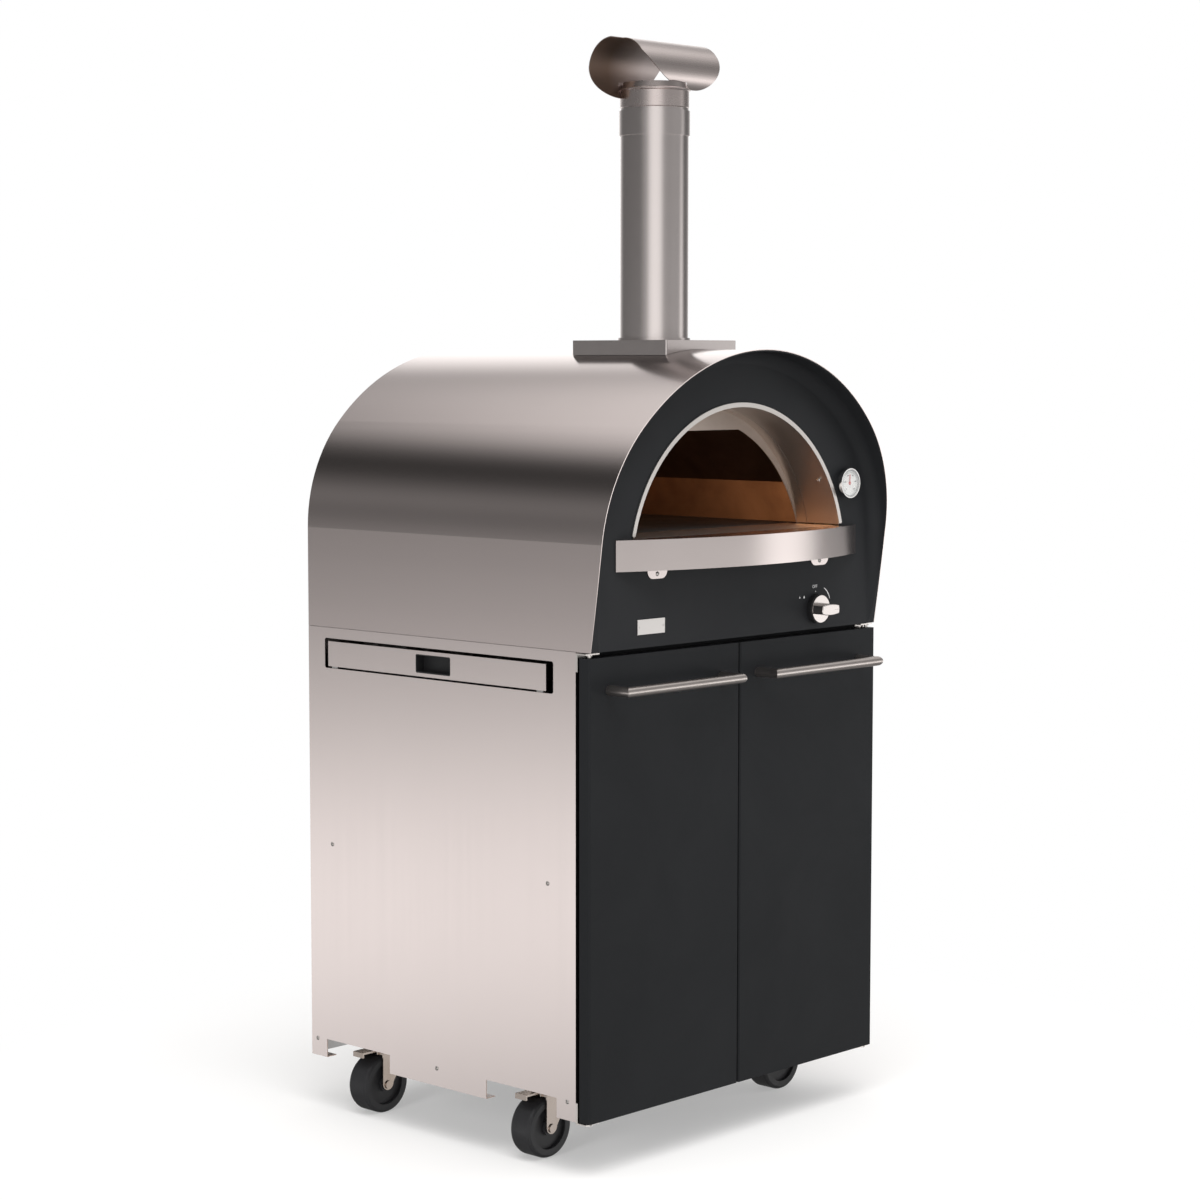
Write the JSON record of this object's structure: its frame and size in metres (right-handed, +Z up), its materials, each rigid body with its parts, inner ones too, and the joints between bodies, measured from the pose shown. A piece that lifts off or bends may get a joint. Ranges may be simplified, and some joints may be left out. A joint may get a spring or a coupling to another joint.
{
  "type": "outdoor pizza oven table",
  "caption": "Barrel-roofed outdoor pizza oven with an arched mouth and a flue, standing on a wheeled steel cabinet with two doors and a pull-out side shelf.",
  "frame": {"origin": "on the ground, under the middle of the whole object's plan", "axes": "+X to the right seen from the front, -Y out of the doors and the oven's mouth, +Z up"},
  "size_m": [0.7032, 0.7113, 1.7664],
  "materials": {
    "anthracite_paint": "fine satin anthracite powder coat",
    "bar_steel": "brushed along the bar",
    "barrel_steel": "fine brushed, mirror-like stainless",
    "black_plastic": "matt black",
    "board_ceramic": "calcium silicate board",
    "bracket_steel": "pressed stainless",
    "burner_steel": "heat-tinted tube",
    "bush_plastic": "black nylon",
    "ceramic_wool": "white ceramic fibre blanket",
    "chamber_steel": "heat-tinted stainless",
    "dial_bezel": "polished steel",
    "dial_glass": "clear flat glass",
    "dial_white": "white enamel",
    "flue_steel": "brushed round the pipe",
    "galvanised_steel": "plain folded sheet",
    "hearth_stone": "dense fine-grained fire tile",
    "knob_chrome": "satin chrome",
    "lining_steel": "satin stainless, warm from the fire",
    "mantel_steel": "brushed stainless",
    "panel_steel": "satin stainless",
    "plate_steel": "bare satin plate",
    "pointer_red": "red",
    "rubber_black": "black rubber",
    "screw_steel": "bright steel",
    "trim_steel": "bright stainless edge",
    "valve_brass": "cast and drawn brass",
    "wheel_rubber": "satin black rubber tread on a black core",
    "zinc_steel": "pressed plated steel"
  },
  "bodies": {
    "oven_table": {"back_panel": "galvanised_steel", "blank_plate": "plate_steel", "cabinet_floor": "galvanised_steel", "caster_plates": "zinc_steel", "chamber_front": "chamber_steel", "chamber_vault": "chamber_steel", "door_header": "anthracite_paint", "door_magnets": "rubber_black", "flue_box": "flue_steel", "flue_cowl": "flue_steel", "flue_pipe": "flue_steel", "flue_rings": "flue_steel", "front_panel": "anthracite_paint", "gas_burner": "burner_steel", "gas_valve_and_pipe": "valve_brass", "hearth_tiles": "hearth_stone", "hinge_brackets": "bracket_steel", "hinge_pins": "screw_steel", "inner_shelf": "galvanised_steel", "insulation_blanket": "ceramic_wool", "insulation_board": "board_ceramic", "knob_bezel": "black_plastic", "mantel": "mantel_steel", "mouth_trim": "trim_steel", "mouth_tunnel": "lining_steel", "oven_back": "galvanised_steel", "oven_base_and_rails": "galvanised_steel", "oven_feet": "rubber_black", "oven_shell": "barrel_steel", "panel_screws": "screw_steel", "side_panel_left": "panel_steel", "side_panel_right": "panel_steel", "side_shelf_rails": "galvanised_steel", "thermometer_case": "dial_bezel", "thermometer_dial": "dial_white", "thermometer_glass": "dial_glass", "top_deck": "galvanised_steel"},
    "door_left": {"door_left": "anthracite_paint", "handle_left": "bar_steel", "hinge_bushes_left": "bush_plastic"},
    "door_right": {"door_right": "anthracite_paint", "handle_right": "bar_steel", "hinge_bushes_right": "bush_plastic"},
    "side_shelf": {"side_shelf_board": "panel_steel", "side_shelf_pull": "black_plastic", "side_shelf_slides": "galvanised_steel"},
    "gas_knob": {"gas_knob": "knob_chrome"},
    "thermometer_pointer": {"thermometer_pointer": "pointer_red"},
    "caster_fork_front_left": {"caster_fork_front_left": "zinc_steel"},
    "wheel_front_left": {"wheel_front_left": "wheel_rubber"},
    "brake_pedal_front_left": {"brake_pedal_front_left": "zinc_steel"},
    "caster_fork_front_right": {"caster_fork_front_right": "zinc_steel"},
    "wheel_front_right": {"wheel_front_right": "wheel_rubber"},
    "brake_pedal_front_right": {"brake_pedal_front_right": "zinc_steel"},
    "caster_fork_rear_left": {"caster_fork_rear_left": "zinc_steel"},
    "wheel_rear_left": {"wheel_rear_left": "wheel_rubber"},
    "brake_pedal_rear_left": {"brake_pedal_rear_left": "zinc_steel"},
    "caster_fork_rear_right": {"caster_fork_rear_right": "zinc_steel"},
    "wheel_rear_right": {"wheel_rear_right": "wheel_rubber"},
    "brake_pedal_rear_right": {"brake_pedal_rear_right": "zinc_steel"}
  },
  "joints": [
    {"name": "door_left_hinge", "type": "hinge", "parent": "oven_table", "child": "door_left", "pos_m": [-0.3385, -0.2827, 0.45], "axis": [0, 0, -1], "range_deg": [0, 110]},
    {"name": "door_right_hinge", "type": "hinge", "parent": "oven_table", "child": "door_right", "pos_m": [0.3385, -0.2827, 0.45], "axis": [0, 0, 1], "range_deg": [0, 110]},
    {"name": "side_shelf_slide", "type": "slide", "parent": "oven_table", "child": "side_shelf", "axis": [-1, 0, 0], "range_m": [0, 0.34]},
    {"name": "gas_knob_turn", "type": "hinge", "parent": "oven_table", "child": "gas_knob", "pos_m": [0.1914, -0.2953, 0.846], "axis": [0, 1, 0], "range_deg": [-210, 0]},
    {"name": "thermometer_pointer_turn", "type": "hinge", "parent": "oven_table", "child": "thermometer_pointer", "pos_m": [0.2655, -0.3041, 1.0506], "axis": [0, 1, 0], "range_deg": [-130, 130]},
    {"name": "swivel_front_left", "type": "hinge", "parent": "oven_table", "child": "caster_fork_front_left", "pos_m": [-0.286, -0.1413, 0.0996], "axis": [0, 0, 1], "continuous": true},
    {"name": "roll_front_left", "type": "hinge", "parent": "caster_fork_front_left", "child": "wheel_front_left", "pos_m": [-0.301, -0.1413, 0.0482], "axis": [0, 1, 0], "continuous": true},
    {"name": "brake_front_left", "type": "hinge", "parent": "caster_fork_front_left", "child": "brake_pedal_front_left", "pos_m": [-0.31, -0.1413, 0.1034], "axis": [0, -1, 0], "range_deg": [0, 10]},
    {"name": "swivel_front_right", "type": "hinge", "parent": "oven_table", "child": "caster_fork_front_right", "pos_m": [0.286, -0.1413, 0.0996], "axis": [0, 0, 1], "continuous": true},
    {"name": "roll_front_right", "type": "hinge", "parent": "caster_fork_front_right", "child": "wheel_front_right", "pos_m": [0.271, -0.1413, 0.0482], "axis": [0, 1, 0], "continuous": true},
    {"name": "brake_front_right", "type": "hinge", "parent": "caster_fork_front_right", "child": "brake_pedal_front_right", "pos_m": [0.262, -0.1413, 0.1034], "axis": [0, -1, 0], "range_deg": [0, 10]},
    {"name": "swivel_rear_left", "type": "hinge", "parent": "oven_table", "child": "caster_fork_rear_left", "pos_m": [-0.286, 0.2412, 0.0996], "axis": [0, 0, 1], "continuous": true},
    {"name": "roll_rear_left", "type": "hinge", "parent": "caster_fork_rear_left", "child": "wheel_rear_left", "pos_m": [-0.301, 0.2412, 0.0482], "axis": [0, 1, 0], "continuous": true},
    {"name": "brake_rear_left", "type": "hinge", "parent": "caster_fork_rear_left", "child": "brake_pedal_rear_left", "pos_m": [-0.31, 0.2412, 0.1034], "axis": [0, -1, 0], "range_deg": [0, 10]},
    {"name": "swivel_rear_right", "type": "hinge", "parent": "oven_table", "child": "caster_fork_rear_right", "pos_m": [0.286, 0.2412, 0.0996], "axis": [0, 0, 1], "continuous": true},
    {"name": "roll_rear_right", "type": "hinge", "parent": "caster_fork_rear_right", "child": "wheel_rear_right", "pos_m": [0.271, 0.2412, 0.0482], "axis": [0, 1, 0], "continuous": true},
    {"name": "brake_rear_right", "type": "hinge", "parent": "caster_fork_rear_right", "child": "brake_pedal_rear_right", "pos_m": [0.262, 0.2412, 0.1034], "axis": [0, -1, 0], "range_deg": [0, 10]}
  ]
}
